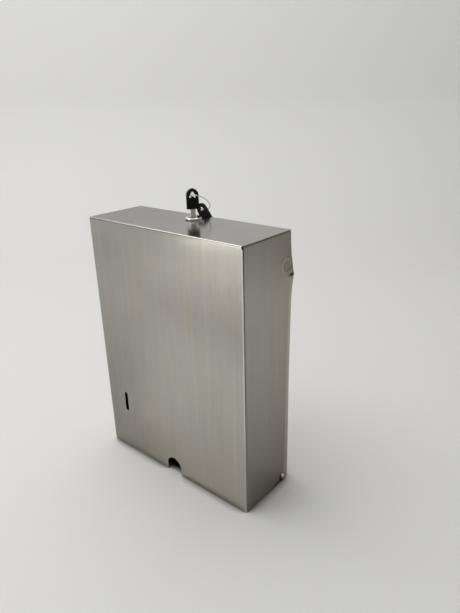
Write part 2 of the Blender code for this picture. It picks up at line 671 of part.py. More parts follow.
def make_keeper(steel):
    """Bracket on the back plate whose lip stands in front of the cam when the lock is turned."""
    lip_y = LOCK_Y - CAM_WIDTH / 2 - CAM_PLAY
    foot_y = PANEL_Y - SEAT
    path = folded_path([(foot_y, KEEPER_TOP_Z - KEEPER_FOOT), (foot_y, KEEPER_TOP_Z),
                        (lip_y, KEEPER_TOP_Z), (lip_y, KEEPER_TOP_Z + KEEPER_LIP)], KEEPER_BEND)
    bm = bmesh.new()
    sides = [KEEPER_X - KEEPER_WIDTH / 2, KEEPER_X + KEEPER_WIDTH / 2]
    sheet_grid(bm, sides, path, lambda x, point: Vector((x, point.x, point.y)))
    return finish_sheet("lock_keeper", bm, steel, KEEPER_SHEET, Vector((0, 1, 0)))


def make_lock_body(chrome, steel):
    """Housing with its round face, the washer and the nut that clamp it in the cover's top."""
    place = Matrix.Translation((LOCK_X, LOCK_Y, 0)) @ Matrix.Rotation(LOCK_TURN, 4, "Z")
    bore = PLUG_RADIUS + SEAT
    head_bore = PLUG_HEAD_RADIUS + SEAT
    head_seat = BEZEL_TOP_Z - PLUG_HEAD_HEIGHT - SEAT
    rim = [(BEZEL_RADIUS - BEZEL_ROUND + x, BEZEL_TOP_Z - BEZEL_ROUND + z)
           for x, z in reversed(arc((0, 0), BEZEL_ROUND, 0, 90, ROUND_STEPS))]
    profile = [(head_bore, head_seat), (head_bore, BEZEL_TOP_Z)] + rim
    profile += [(BEZEL_RADIUS, BEZEL_FOOT_Z), (BARREL_RADIUS, BEZEL_FOOT_Z), (BARREL_RADIUS, BARREL_END_Z),
                (bore, BARREL_END_Z), (bore, head_seat)]
    housing = turned("lock_housing", profile, chrome, LOCK_SIDES, place)
    for side, word in ((-1, "left"), (1, "right")):
        inner = side * BARREL_FLATS / 2
        outer = side * (BARREL_RADIUS + OVERCUT)
        low = (-BARREL_RADIUS - OVERCUT, min(inner, outer), BARREL_END_Z - OVERCUT)
        high = (BARREL_RADIUS + OVERCUT, max(inner, outer), BEZEL_FOOT_Z)
        cutter = box_cutter("barrel_flat_" + word, low, high)
        cutter.matrix_world = place
        boolean(housing, cutter)

    bore = BARREL_RADIUS + SEAT
    high = TOP_UNDERSIDE_Z - SEAT
    low = high - WASHER_THICKNESS
    washer = [(bore, high), (WASHER_RADIUS, high), (WASHER_RADIUS, low), (bore, low)]
    turned("lock_washer", washer, steel, LOCK_SIDES, place)

    nut_top = low - SEAT
    bm = bmesh.new()
    corner = NUT_ACROSS_FLATS / 2 / math.cos(math.pi / 6)
    bmesh.ops.create_cone(bm, cap_ends=True, segments=6, radius1=corner, radius2=corner, depth=NUT_HEIGHT)
    bmesh.ops.translate(bm, vec=(0, 0, nut_top - NUT_HEIGHT / 2), verts=bm.verts)
    nut = object_from_bmesh("lock_nut", bm, steel)
    nut.matrix_world = place
    centre = (LOCK_X, LOCK_Y, nut_top - NUT_HEIGHT / 2)
    boolean(nut, round_cutter("nut_bore", centre, (0, 0, 1), bore, NUT_HEIGHT + OVERCUT, LOCK_SIDES))


def make_plug(chrome, steel, parent, cam_parent):
    """The turning middle of the lock, with the cam, washer and screw on its tail."""
    top = BEZEL_TOP_Z
    head_foot = top - PLUG_HEAD_HEIGHT
    profile = [(0.0, top), (PLUG_HEAD_RADIUS, top), (PLUG_HEAD_RADIUS, head_foot), (PLUG_RADIUS, head_foot),
               (PLUG_RADIUS, PLUG_END_Z), (0.0, PLUG_END_Z)]
    plug = turned("lock_plug", profile, chrome, LOCK_SIDES)
    plug.parent = parent
    half = PLUG_SQUARE / 2
    square_end = PLUG_END_Z - PLUG_SQUARE_LENGTH
    square = box_cutter("plug_square", (-half, -half, square_end), (half, half, PLUG_END_Z + OVERCUT))
    square.parent = cam_parent
    boolean(plug, square, "UNION")
    play = BLADE_THICKNESS / 2 + SEAT
    wide = BLADE_WIDTH / 2 + SEAT
    keyway = box_cutter("keyway_cut", (-play, -wide, top - KEYWAY_DEPTH), (play, wide, top + OVERCUT))
    keyway.parent = parent
    boolean(plug, keyway)
    bore_top = SCREW_SEAT_Z + SCREW_SHANK + SEAT
    bore_low = square_end - OVERCUT
    middle = (0, 0, (bore_top + bore_low) / 2)
    bore = round_cutter("screw_bore", middle, (0, 0, 1), SCREW_RADIUS + SEAT, bore_top - bore_low)
    bore.parent = parent
    boolean(plug, bore)

    tip = CAM_LENGTH - CAM_WIDTH / 2
    outline = arc((0, tip), CAM_WIDTH / 2, 0, 180, CUT_STEPS)
    outline += arc((0, 0), CAM_WIDTH / 2, 180, 360, CUT_STEPS)
    gap = half + SEAT
    hole = [(-gap, -gap), (-gap, gap), (gap, gap), (gap, -gap)]
    flat = Matrix.Translation((0, 0, (CAM_TOP_Z + CAM_FOOT_Z) / 2))
    cam = extruded_outline("lock_cam", [outline, hole], CAM_THICKNESS, flat, steel)
    cam.parent = cam_parent

    bore = SCREW_RADIUS + SEAT
    foot = CAM_WASHER_TOP_Z - CAM_WASHER_THICKNESS
    ring = [(bore, CAM_WASHER_TOP_Z), (CAM_WASHER_RADIUS, CAM_WASHER_TOP_Z), (CAM_WASHER_RADIUS, foot),
            (bore, foot)]
    washer = turned("cam_washer", ring, steel)
    washer.parent = parent

    end = SCREW_SEAT_Z - SCREW_HEAD_HEIGHT
    shank_top = SCREW_SEAT_Z + SCREW_SHANK
    shape = [(0.0, shank_top), (SCREW_RADIUS, shank_top), (SCREW_RADIUS, SCREW_SEAT_Z)]
    shape += [(SCREW_HEAD_RADIUS, SCREW_SEAT_Z), (SCREW_HEAD_RADIUS, end + SCREW_HEAD_EDGE)]
    shape += [(SCREW_HEAD_RADIUS - SCREW_HEAD_EDGE, end), (0.0, end)]
    screw = turned("cam_screw", shape, steel)
    screw.parent = parent


def head_outlines():
    """Outline of a key's head and of its ring hole, in head widths and heights up from its flat end."""
    half = HEAD_WIDTH / 2
    radius = half + HEAD_POINT
    rise = math.sqrt(radius ** 2 - HEAD_POINT ** 2)
    lean = math.degrees(math.acos(HEAD_POINT / radius))
    right = arc((-HEAD_POINT, HEAD_HEIGHT - rise), radius, 0, lean, HEAD_STEPS)
    left = [(-x, y) for x, y in reversed(right)]
    outer = [(-half, 0.0), (half, 0.0)] + right + left[1:]

    half = LOOP_WIDTH / 2
    foot = HEAD_HEIGHT - LOOP_FOOT
    side = HEAD_HEIGHT - LOOP_SHOULDER
    apex = HEAD_HEIGHT - LOOP_APEX
    leg = half - LOOP_BUMP
    knee = side + (apex - side) * (1 - LOOP_KNEE)
    right = [(leg, foot), (half, foot), (half, side), (half * LOOP_KNEE, knee), (0.0, apex)]
    left = [(-half * LOOP_KNEE, knee), (-half, side), (-half, foot), (-leg, foot)]
    bump = arc((0, foot), leg, 180, 0, HEAD_STEPS)[1:-1]
    return outer, right + left + bump


def make_key(word, plastic, nickel, place, parent):
    """A key: black head over the blade's tang. Local Y runs along the blade's length, up to the head."""
    outer, loop = head_outlines()
    head = extruded_outline(word + "_head", [outer, loop], HEAD_THICKNESS, place, plastic, MODEL, HEAD_ROUND)
    wide = BLADE_WIDTH / 2 + SEAT
    thick = BLADE_THICKNESS / 2 + SEAT
    pocket_low = (-wide, -OVERCUT, -thick)
    pocket = box_cutter(word + "_pocket_cut", pocket_low, (wide, BLADE_TANG + SEAT, thick))
    pocket.data.transform(place)
    head.parent = parent
    pocket.parent = parent
    boolean(head, pocket)
    half = BLADE_WIDTH / 2
    tip = BLADE_TIP_WIDTH / 2
    blade = [(-half, BLADE_TANG), (-half, BLADE_TIP - BLADE_LENGTH), (-tip, -BLADE_LENGTH)]
    blade += [(tip, -BLADE_LENGTH), (half, BLADE_TIP - BLADE_LENGTH), (half, BLADE_TANG)]
    item = extruded_outline(word + "_blade", [blade], BLADE_THICKNESS, place, nickel)
    item.parent = parent


def make_ring(wire):
    """A closed wire ring, bent long, through both keys' heads, hanging as it came to rest."""
    normal = RING_NORMAL.normalized()
    centre = Vector((LOCK_X, LOCK_Y, COVER_HEIGHT)) + RING_FROM_LOCK
    long_way = (RING_LONG_WAY - normal * RING_LONG_WAY.dot(normal)).normalized()
    short_way = normal.cross(long_way)
    curve = bpy.data.curves.new("key_ring", "CURVE")
    curve.dimensions = "3D"
    curve.bevel_depth = RING_WIRE
    curve.bevel_resolution = 2
    spline = curve.splines.new("POLY")
    spline.points.add(RING_STEPS - 1)
    for i, point in enumerate(spline.points):
        angle = 2 * math.pi * i / RING_STEPS
        spot = centre + long_way * (RING_LONG_HALF * math.cos(angle))
        spot += short_way * (RING_SHORT_HALF * math.sin(angle))
        point.co = (*spot, 1.0)
    spline.use_cyclic_u = True
    ring = bpy.data.objects.new("key_ring", curve)
    curve.materials.append(wire)
    bpy.data.collections[MODEL].objects.link(ring)


def make_axis(name, turn):
    """An empty on the lock's axis, for what turns with the plug."""
    axis = bpy.data.objects.new(name, None)
    axis.location = (LOCK_X, LOCK_Y, 0)
    axis.rotation_euler = (0, 0, turn)
    bpy.data.collections[MODEL].objects.link(axis)
    return axis


def main():
    clear_scene()
    make_collection(MODEL)
    make_collection(CUTTERS)
    brushed = make_material("brushed_steel", (0.56, 0.55, 0.52), 0.34, 1.0)
    inner = make_material("inner_steel", (0.50, 0.50, 0.49), 0.42, 1.0)
    chrome = make_material("lock_chrome", (0.78, 0.78, 0.79), 0.14, 1.0)
    zinc = make_material("zinc_steel", (0.60, 0.60, 0.61), 0.36, 1.0)
    nickel = make_material("key_nickel", (0.72, 0.62, 0.50), 0.28, 1.0)
    plastic = make_material("black_plastic", (0.012, 0.012, 0.013), 0.32, 0.0)
    wire = make_material("ring_wire", (0.55, 0.55, 0.56), 0.26, 1.0)

    make_cover(brushed)
    make_hinges(zinc, inner)
    make_back_plate(inner)
    make_tray(inner)
    make_guides(inner)
    make_keeper(zinc)
    make_lock_body(chrome, zinc)

    lock = make_axis("lock_axis", LOCK_TURN)
    cam_axis = make_axis("cam_axis", 0.0)
    bpy.context.view_layer.update()
    make_plug(chrome, zinc, lock, cam_axis)
    across = Matrix.Rotation(math.pi / 2, 4, "Z") @ Matrix.Rotation(math.pi / 2, 4, "X")
    make_key("key", plastic, nickel, Matrix.Translation((0, 0, HEAD_FOOT_Z)) @ across, lock)

    arch = Vector((LOCK_X - SPARE_LEFT_OF_LOCK, SPARE_Y, SPARE_ARCH_Z))
    upright = Matrix.Rotation(-SPARE_LEAN, 4, "Y") @ Matrix.Rotation(math.pi / 2, 4, "X")
    down = Matrix.Translation((0, HEAD_WIDTH / 2 - HEAD_HEIGHT, 0))
    make_key("spare_key", plastic, nickel, Matrix.Translation(arch) @ upright @ down, None)
    make_ring(wire)


main()
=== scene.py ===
"""Looks of the paper towel dispenser: brushed steel cover, cam lock, keys, and the plain inside."""
import math

import bmesh
import bpy
from mathutils import Matrix, Vector


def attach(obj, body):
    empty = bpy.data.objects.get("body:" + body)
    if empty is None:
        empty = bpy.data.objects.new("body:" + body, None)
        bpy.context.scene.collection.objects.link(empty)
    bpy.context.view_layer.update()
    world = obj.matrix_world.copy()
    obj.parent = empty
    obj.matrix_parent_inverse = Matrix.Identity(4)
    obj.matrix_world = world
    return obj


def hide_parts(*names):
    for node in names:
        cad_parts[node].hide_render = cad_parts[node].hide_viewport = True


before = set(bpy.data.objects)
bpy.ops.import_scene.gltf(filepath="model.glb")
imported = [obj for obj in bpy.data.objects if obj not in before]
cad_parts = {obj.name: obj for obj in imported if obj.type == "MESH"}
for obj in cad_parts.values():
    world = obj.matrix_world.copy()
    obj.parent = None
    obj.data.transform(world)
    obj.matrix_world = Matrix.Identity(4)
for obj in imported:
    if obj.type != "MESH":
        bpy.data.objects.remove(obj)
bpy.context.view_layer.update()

# Sizes repeated from the part's source, in metres
WIDTH, DEPTH, HEIGHT = 0.260, 0.090, 0.350
SHEET, BEND, TOTAL = 0.0010, 0.0016, 0.097
SEAM, RELIEF, FLANGE = 0.0005, 0.0009, 0.011
FRONT_Y = -TOTAL / 2
REAR_Y = FRONT_Y + DEPTH
SIDE_X = WIDTH / 2
PIVOT_SETBACK, PIVOT_HEIGHT = 0.0102, 0.0074
PIVOT = (REAR_Y - PIVOT_SETBACK, PIVOT_HEIGHT)
LOCK_SETBACK = 0.0233
LOCK_X, LOCK_Y = -0.0024, REAR_Y - LOCK_SETBACK
LOCK_TURN = math.radians(-31.0)
SIDE_TOP = HEIGHT - SHEET - SEAM
STRIP_TOP = SIDE_TOP - BEND

# Places on the cover's unfolded sheet. u runs across the front and round both sides, v runs up and over the top
# FOLD_U is where the painted fold highlight runs, FOLD_SHADE_U the painted shade line beside it
FOLD_U, FOLD_SHADE_U, REAR_U = 0.1293, 0.13065, 0.2193
TOP_FOLD_V = (0.3495, 0.3515)
# centres of the painted shade about the pivots and in the nick
PIVOT_SHADE_SPOT = (REAR_U - 0.0122, 0.0070)
NICK_SHADE_SPOT = (REAR_U - 0.0243, 0.0006)

MILL_GRAIN = (40, 40, 700)
SHARP_ANGLE = 32
SHEET_MERGE, PLATE_MERGE = 1e-5, 1e-6


# materials

def new_material(name, colour, roughness, metallic=0.0):
    material = bpy.data.materials.new(name)
    material.use_nodes = True
    shader = material.node_tree.nodes["Principled BSDF"]
    shader.inputs["Base Color"].default_value = (*colour, 1)
    shader.inputs["Roughness"].default_value = roughness
    shader.inputs["Metallic"].default_value = metallic
    return material, material.node_tree, shader


def object_place(tree):
    return tree.nodes.new("ShaderNodeTexCoord").outputs["Object"]


def split(tree, vector):
    made = tree.nodes.new("ShaderNodeSeparateXYZ")
    tree.links.new(vector, made.inputs[0])
    return made.outputs


def noise(tree, vector, scale, detail, roughness):
    made = tree.nodes.new("ShaderNodeTexNoise")
    made.inputs["Scale"].default_value = scale
    made.inputs["Detail"].default_value = detail
    made.inputs["Roughness"].default_value = roughness
    tree.links.new(vector, made.inputs["Vector"])
    return made.outputs["Fac"]


def stretched_noise(tree, vector, scale, detail, roughness):
    made = tree.nodes.new("ShaderNodeMapping")
    made.inputs["Scale"].default_value = scale
    tree.links.new(vector, made.inputs["Vector"])
    return noise(tree, made.outputs["Vector"], 1.0, detail, roughness)


def maths(tree, operation, first, second=None):
    made = tree.nodes.new("ShaderNodeMath")
    made.operation = operation
    for socket, value in zip(made.inputs, (first, second)):
        if value is None:
            continue
        if isinstance(value, (int, float)):
            socket.default_value = value
        else:
            tree.links.new(value, socket)
    return made.outputs[0]


def ramp(tree, value, low, high, start=0.0, end=1.0):
    """Value mapped from low..high to start..end, clamped."""
    made = tree.nodes.new("ShaderNodeMapRange")
    made.inputs["From Min"].default_value = low
    made.inputs["From Max"].default_value = high
    made.inputs["To Min"].default_value = start
    made.inputs["To Max"].default_value = end
    tree.links.new(value, made.inputs["Value"])
    return made.outputs["Result"]


def mix_colour(tree, factor, first, second):
    made = tree.nodes.new("ShaderNodeMix")
    made.data_type = "RGBA"
    tree.links.new(factor, made.inputs[0])
    for socket, value in ((made.inputs[6], first), (made.inputs[7], second)):
        if isinstance(value, tuple):
            socket.default_value = (*value, 1)
        else:
            tree.links.new(value, socket)
    return made.outputs[2]


def bump(tree, shader, height, strength, distance):
    made = tree.nodes.new("ShaderNodeBump")
    made.inputs["Strength"].default_value = strength
    made.inputs["Distance"].default_value = distance
    tree.links.new(height, made.inputs["Height"])
    tree.links.new(made.outputs["Normal"], shader.inputs["Normal"])


def band(tree, value, middle, half, soft):
    """1 within half of the middle, falling to 0 over the soft width."""
    away = maths(tree, "ABSOLUTE", maths(tree, "SUBTRACT", value, middle))
    return ramp(tree, away, half, half + soft, 1.0, 0.0)


def distance_to(tree, across, along, x, y):
    aside = maths(tree, "SUBTRACT", across, x)
    above = maths(tree, "SUBTRACT", along, y)
    aside_squared = maths(tree, "MULTIPLY", aside, aside)
    above_squared = maths(tree, "MULTIPLY", above, above)
    return maths(tree, "SQRT", maths(tree, "ADD", aside_squared, above_squared))


def brushed_steel():
    """Grain runs down the front and sides and back over the top, on the cover's own unfolded sheet."""
    material, tree, shader = new_material("cover_steel", (0.47, 0.45, 0.405), 0.17, 1.0)
    shader.inputs["Anisotropic"].default_value = 0.4
    uv = tree.nodes.new("ShaderNodeUVMap")
    uv.uv_map = "sheet"
    place = uv.outputs["UV"]
    across, along, _ = split(tree, place)
    from_middle = maths(tree, "ABSOLUTE", across)

    def patches(scale_u, scale_v, detail, roughness):
        return stretched_noise(tree, place, (scale_u, scale_v, 1), detail, roughness)

    def times(first, second):
        return maths(tree, "MULTIPLY", first, second)

    def paint(factor, colour):
        nonlocal tone
        tone = mix_colour(tree, factor, tone, colour)

    fine = patches(2600, 16, 3.0, 0.6)
    lines = patches(620, 5, 3.0, 0.55)
    broad = patches(70, 2.2, 3.0, 0.5)
    cloud = patches(7, 9, 3.0, 0.5)
    smudge = patches(38, 30, 4.0, 0.62)
    streak = patches(165, 3.2, 4.0, 0.6)
    hue = patches(46, 6, 3.0, 0.5)
    grain = maths(tree, "ADD", times(fine, 0.45), times(lines, 0.35))
    grain = maths(tree, "ADD", grain, times(broad, 0.20))
    tone = mix_colour(tree, ramp(tree, grain, 0.36, 0.64), (0.43, 0.408, 0.360), (0.51, 0.490, 0.446))
    paint(ramp(tree, cloud, 0.40, 0.72, 0.0, 0.55), (0.415, 0.398, 0.362))
    paint(ramp(tree, smudge, 0.58, 0.75, 0.0, 0.22), (0.39, 0.37, 0.33))
    paint(ramp(tree, streak, 0.30, 0.48, 0.45, 0.0), (0.375, 0.358, 0.325))
    paint(ramp(tree, streak, 0.52, 0.72, 0.0, 0.50), (0.56, 0.54, 0.49))

    # greyer and warmer patches, browner and darker towards the rear of the sides and the foot, and painted
    # shade darkening the top towards its left
    paint(ramp(tree, hue, 0.40, 0.55, 0.5, 0.0), (0.455, 0.440, 0.425))
    paint(ramp(tree, hue, 0.52, 0.68, 0.0, 0.35), (0.500, 0.462, 0.395))
    rear = ramp(tree, from_middle, 0.150, REAR_U, 0.0, 0.65)
    rear_foot = times(ramp(tree, from_middle, 0.160, REAR_U, 0.0, 0.7), ramp(tree, along, 0.0, 0.12, 1.0, 0.0))
    paint(rear, (0.41, 0.360, 0.295))
    paint(ramp(tree, along, 0.0, 0.11, 0.5, 0.0), (0.44, 0.395, 0.325))
    paint(rear_foot, (0.30, 0.26, 0.21))
    # painted shade: the top darker towards its left, standing in for a darker reflection there
    on_top = ramp(tree, along, 0.351, 0.353)
    paint(times(ramp(tree, across, -0.13, 0.10, 0.85, 0.20), on_top), (0.15, 0.148, 0.141))

    # painted highlight along the upright folds, stronger higher up, and a painted shade line beside them
    below_top = ramp(tree, along, *TOP_FOLD_V, 1.0, 0.0)
    fold_highlight = times(band(tree, from_middle, FOLD_U, 0.0005, 0.0005), below_top)
    fold_highlight = times(fold_highlight, ramp(tree, along, 0.0, 0.22, 0.30, 0.85))
    paint(fold_highlight, (0.82, 0.80, 0.74))
    fold_shade = band(tree, from_middle, FOLD_SHADE_U, 0.0005, 0.0004)
    fold_shade = times(fold_shade, ramp(tree, along, 0.03, 0.19, 0.10, 0.93))
    paint(times(fold_shade, below_top), (0.03, 0.026, 0.022))

    # painted highlight on the flared strip at the right rear edge, below the dent
    strip_start = ramp(tree, along, 0.0, 0.295, REAR_U - STRIP_LOW, REAR_U - STRIP_HIGH)
    strip_highlight = ramp(tree, maths(tree, "SUBTRACT", across, strip_start), -0.0003, 0.0009)
    paint(times(strip_highlight, ramp(tree, along, 0.282, 0.292, 0.8, 0.0)), (0.62, 0.565, 0.485))

    # painted shade in the sharp crease of the dent, a painted highlight on the rim of its ring, and painted
    # shade in the open seam and its corner relief
    crease = band(tree, along, DENT_Z - 0.0006, 0.0008, 0.0026)
    paint(times(crease, ramp(tree, across, REAR_U - 0.0100, REAR_U - 0.0030, 0.0, 0.9)), (0.05, 0.042, 0.034))
    ring_u = REAR_U - RIDGE_BACK
    ring = distance_to(tree, across, along, ring_u, DENT_Z + RIDGE_UP)
    rim_highlight = band(tree, ring, RIDGE_RADIUS - 0.0003, 0.0004, 0.0010)
    paint(times(rim_highlight, ramp(tree, across, ring_u, ring_u - 0.006, 0.12, 0.60)), (0.66, 0.60, 0.50))
    seam_shade = times(ramp(tree, from_middle, 0.1312, 0.1316), ramp(tree, along, 0.3476, 0.3480))
    corner = times(band(tree, from_middle, 0.1303, 0.0012, 0.0004), ramp(tree, along, 0.3458, 0.3462))
    corner = times(corner, ramp(tree, along, 0.3505, 0.3510, 1.0, 0.0))
    paint(maths(tree, "MAXIMUM", seam_shade, corner), (0.012, 0.010, 0.008))

    # painted shade about the pivots and in the nick before them
    pivot_shade = ramp(tree, distance_to(tree, from_middle, along, *PIVOT_SHADE_SPOT), 0.0050, 0.0062, 0.97, 0.0)
    nick_shade = ramp(tree, distance_to(tree, from_middle, along, *NICK_SHADE_SPOT), 0.0030, 0.0038, 0.98, 0.0)
    paint(maths(tree, "MAXIMUM", pivot_shade, nick_shade), (0.014, 0.012, 0.010))
    tree.links.new(tone, shader.inputs["Base Color"])

    dull_grain = ramp(tree, grain, 0.35, 0.65, 0.13, 0.20)
    dull_smudge = ramp(tree, smudge, 0.5, 0.75, 0.0, 0.05)
    tree.links.new(maths(tree, "ADD", dull_grain, dull_smudge), shader.inputs["Roughness"])
    tangent = tree.nodes.new("ShaderNodeTangent")
    tangent.direction_type = "UV_MAP"
    tangent.uv_map = "sheet"
    tree.links.new(tangent.outputs["Tangent"], shader.inputs["Tangent"])
    bump(tree, shader, grain, 0.07, 0.0003)
    return material


def mill_steel(name, colour, roughness, shade_below=0.0):
    """Plain sheet as it comes from the mill: a faint rolled grain, cloudy tone and, if asked, a foot painted
    near black as painted shade.
    """
    material, tree, shader = new_material(name, colour, roughness, 1.0)
    place = object_place(tree)
    lines = stretched_noise(tree, place, MILL_GRAIN, 3.0, 0.6)
    cloud = noise(tree, place, 14.0, 4.0, 0.55)
    low = tuple(c * 0.86 for c in colour)
    high = tuple(min(1, c * 1.10) for c in colour)
    tone = mix_colour(tree, ramp(tree, lines, 0.35, 0.65), low, high)
    tone = mix_colour(tree, ramp(tree, cloud, 0.4, 0.7, 0.0, 0.5), tone, low)
    if shade_below:
        # painted shade: the sheet near black below the given height
        foot_shade = ramp(tree, split(tree, place)[2], shade_below * 0.6, shade_below, 0.96, 0.0)
        tone = mix_colour(tree, foot_shade, tone, (0.016, 0.014, 0.012))
    tree.links.new(tone, shader.inputs["Base Color"])
    tree.links.new(ramp(tree, cloud, 0.35, 0.7, roughness - 0.05, roughness + 0.08), shader.inputs["Roughness"])
    bump(tree, shader, lines, 0.06, 0.0002)
    return material


def bright_metal(name, colour, roughness, speckle, worn):
    """Plated or polished metal with faint handling marks."""
    material, tree, shader = new_material(name, colour, roughness, 1.0)
    marks = noise(tree, object_place(tree), speckle, 4.0, 0.6)
    low = tuple(c * (1 - 2 * worn) for c in colour)
    tree.links.new(mix_colour(tree, ramp(tree, marks, 0.45, 0.7), colour, low), shader.inputs["Base Color"])
    tree.links.new(ramp(tree, marks, 0.4, 0.7, roughness, roughness + worn), shader.inputs["Roughness"])
    bump(tree, shader, marks, 0.05, 0.0001)
    return material


def black_plastic():
    """Moulded black plastic: fine grain, a soft gloss and faint pale rubbing."""
    material, tree, shader = new_material("key_plastic", (0.006, 0.006, 0.006), 0.3)
    shader.inputs["Specular IOR Level"].default_value = 0.22
    place = object_place(tree)
    grain = noise(tree, place, 2600.0, 2.0, 0.5)
    rub = noise(tree, place, 330.0, 4.0, 0.6)
    tone = mix_colour(tree, ramp(tree, rub, 0.55, 0.8, 0.0, 0.7), (0.005, 0.005, 0.005), (0.014, 0.014, 0.014))
    tree.links.new(tone, shader.inputs["Base Color"])
    tree.links.new(ramp(tree, rub, 0.35, 0.7, 0.24, 0.40), shader.inputs["Roughness"])
    bump(tree, shader, grain, 0.12, 0.0001)
    return material


# mesh helpers

def new_object(name, bm, material, smooth=True):
    mesh = bpy.data.meshes.new(name)
    bm.to_mesh(mesh)
    bm.free()
    item = bpy.data.objects.new(name, mesh)
    bpy.context.scene.collection.objects.link(item)
    if material:
        mesh.materials.append(material)
    if smooth:
        mesh.polygons.foreach_set("use_smooth", [True] * len(mesh.polygons))
        mesh.set_sharp_from_angle(angle=math.radians(SHARP_ANGLE))
    return item


def apply_modifiers(item):
    """Turn an object's modifiers into mesh, then mark its sharp edges."""
    graph = bpy.context.evaluated_depsgraph_get()
    mesh = bpy.data.meshes.new_from_object(item.evaluated_get(graph))
    old = item.data
    item.modifiers.clear()
    item.data = mesh
    bpy.data.meshes.remove(old)
    mesh.polygons.foreach_set("use_smooth", [True] * len(mesh.polygons))
    mesh.set_sharp_from_angle(angle=math.radians(SHARP_ANGLE))


def add_bevel(item, width, segments, angle):
    step = item.modifiers.new("edges", "BEVEL")
    step.width = width
    step.segments = segments
    step.limit_method = "ANGLE"
    step.angle_limit = math.radians(angle)
    step.harden_normals = True


def arc(centre, radius, start, end, steps):
    points = []
    for i in range(steps + 1):
        angle = math.radians(start + (end - start) * i / steps)
        points.append((centre[0] + radius * math.cos(angle), centre[1] + radius * math.sin(angle)))
    return points


def plate(name, outlines, thickness, matrix, material=None):
    """A flat plate from closed outlines, the later ones holes."""
    curve = bpy.data.curves.new(name, "CURVE")
    curve.dimensions = "2D"
    curve.fill_mode = "BOTH"
    curve.extrude = thickness / 2
    for outline in outlines:
        spline = curve.splines.new("POLY")
        spline.points.add(len(outline) - 1)
        for point, (x, y) in zip(spline.points, outline):
            point.co = (x, y, 0, 1)
        spline.use_cyclic_u = True
    source = bpy.data.objects.new(name + "_outline", curve)
    bpy.context.scene.collection.objects.link(source)
    graph = bpy.context.evaluated_depsgraph_get()
    mesh = bpy.data.meshes.new_from_object(source.evaluated_get(graph))
    bpy.data.objects.remove(source)
    bm = bmesh.new()
    bm.from_mesh(mesh)
    bmesh.ops.remove_doubles(bm, verts=bm.verts, dist=PLATE_MERGE)
    bmesh.ops.recalc_face_normals(bm, faces=bm.faces)
    bmesh.ops.transform(bm, matrix=matrix, verts=bm.verts)
    return new_object(name, bm, material, smooth=False)


def cut(item, cutter):
    step = item.modifiers.new("cut_" + cutter.name, "BOOLEAN")
    step.object = cutter
    step.solver = "EXACT"


def remove(items):
    for item in items:
        bpy.data.objects.remove(item)


def rounded(corners, bend, steps):
    """A line through the corners, with each corner between its ends rounded."""
    path = [Vector(corners[0])]
    for before, corner, after in zip(corners, corners[1:], corners[2:]):
        corner = Vector(corner)
        to_before = (Vector(before) - corner).normalized()
        to_after = (Vector(after) - corner).normalized()
        half = to_before.angle(to_after) / 2
        centre = corner + (to_before + to_after).normalized() * (bend / math.sin(half))
        start = (corner + to_before * bend / math.tan(half) - centre).normalized()
        end = (corner + to_after * bend / math.tan(half) - centre).normalized()
        for i in range(steps + 1):
            path.append(centre + start.slerp(end, i / steps) * bend)
    path.append(Vector(corners[-1]))
    return path


def sheet_panel(bm, layer, across, along, place, flat):
    """A divided panel; flat gives each point's place on the unfolded sheet, kept as its UV."""
    grid = [[bm.verts.new(place(a, b)) for b in along] for a in across]
    for i in range(len(across) - 1):
        for j in range(len(along) - 1):
            face = bm.faces.new((grid[i][j], grid[i + 1][j], grid[i + 1][j + 1], grid[i][j + 1]))
            spots = [(i, j), (i + 1, j), (i + 1, j + 1), (i, j + 1)]
            for loop, (u, v) in zip(face.loops, spots):
                loop[layer].uv = flat(across[u], along[v])


# the dented cover

def smooth(value):
    value = max(0.0, min(1.0, value))
    return value * value * (3 - 2 * value)


DENT_Z = 0.2980
EDGE_OUT, EDGE_UP, TAIL_OUT, TAIL_DOWN, TIP_DOWN = 0.0051, 0.052, 0.0019, 0.140, 0.034
EDGE_FALL, TIP_FALL, TAIL_FALL = 2.2, 1.2, 1.3
DENT_INWARD, TAIL_INWARD = 0.021, 0.034
GROOVE_DEPTH, GROOVE_HIGH, GROOVE_INWARD = 0.0013, 0.0020, 0.0085
RIDGE_OUT, RIDGE_UP, RIDGE_BACK, RIDGE_RADIUS, RIDGE_WIDTH = 0.00035, 0.0115, 0.0095, 0.0086, 0.0024
STRIP_HIGH, STRIP_LOW, STRIP_OUT, STRIP_START = 0.0030, 0.0074, 0.0006, 0.040
DENTED = 0.036

# Divisions of the cover's mesh, in columns along the right side and rows up it
BEND_STEPS = 8
FLAT_COLUMNS, DENT_COLUMNS, CREASE_COLUMNS = 8, 30, 5
PLAIN_ROWS, ROW_HEIGHT = 4, 0.0014
TIP_ROWS, TIP_ROW_HEIGHT, TIP_CLEAR = 4, 0.00055, 0.0026


def crease_width(z):
    share = max(0.0, min(1.0, z / DENT_Z))
    return STRIP_LOW + (STRIP_HIGH - STRIP_LOW) * share


def dent_depth(y, z):
    """How far the right side is pushed out: a sharp tip at its rear edge, a long tail below it."""
    inward = REAR_Y - y
    height = z - DENT_Z
    near = max(0.0, 1 - inward / DENT_INWARD) ** 2
    wide = max(0.0, 1 - inward / TAIL_INWARD) ** 2
    spread = 0.6 * near + 0.4 * wide
    if height > 0:
        out = EDGE_OUT * max(0.0, 1 - height / EDGE_UP) ** EDGE_FALL * spread
    else:
        out = (EDGE_OUT - TAIL_OUT) * max(0.0, 1 + height / TIP_DOWN) ** TIP_FALL * spread
        out += TAIL_OUT * max(0.0, 1 + height / TAIL_DOWN) ** TAIL_FALL * spread
    groove = max(0.0, 1 - abs(height) / GROOVE_HIGH) * max(0.0, 1 - inward / GROOVE_INWARD)
    out -= GROOVE_DEPTH * groove * smooth(inward / GROOVE_HIGH)
    ring = math.hypot(inward - RIDGE_BACK, height - RIDGE_UP)
    out += RIDGE_OUT * smooth(1 - abs(ring - RIDGE_RADIUS) / RIDGE_WIDTH)
    out += STRIP_OUT * max(0.0, 1 - inward / crease_width(z)) * smooth(-height / STRIP_START)
    return out


